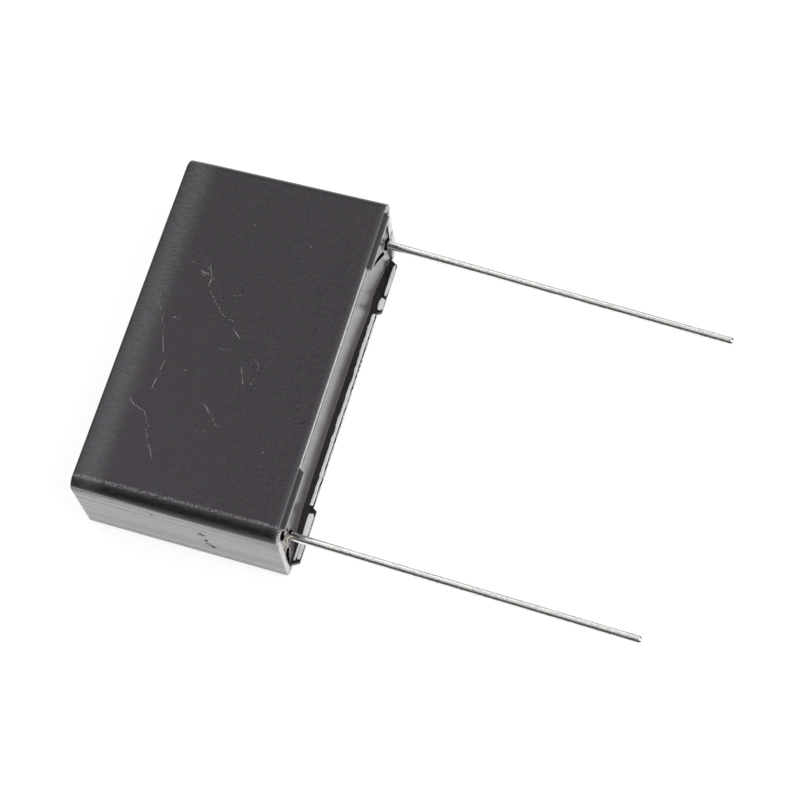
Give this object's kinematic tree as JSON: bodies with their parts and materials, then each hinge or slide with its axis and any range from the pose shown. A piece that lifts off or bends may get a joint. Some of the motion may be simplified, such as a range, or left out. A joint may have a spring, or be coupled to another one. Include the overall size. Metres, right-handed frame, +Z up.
{
  "type": "box film capacitor",
  "caption": "Moulded rectangular case with rounded edges and stand-off feet, filled with resin around a wound film element, with long round wire leads out of its open side.",
  "frame": {"origin": "centre of the case's back face, on the surface that the capacitor lies on", "axes": "+Z up, away from the surface it lies on; +X along the leads, out of the open side of the case; +Y along the case, towards the left lead"},
  "size_m": [0.0654, 0.042, 0.0142],
  "materials": {
    "case_plastic": "fine-grained matte charcoal moulding, lightly scratched",
    "resin": "smooth cast grey resin",
    "film": "silvery metallised film, hidden in the resin",
    "sprayed_metal": "rough grey sprayed metal, hidden in the resin",
    "tinned_wire": "bright tin plating with fine drawing marks"
  },
  "bodies": {
    "root": {"case": "case_plastic", "potting_resin": "resin", "film_winding": "film", "end_spray_left": "sprayed_metal", "end_spray_right": "sprayed_metal", "lead_left": "tinned_wire", "lead_right": "tinned_wire"}
  },
  "joints": []
}
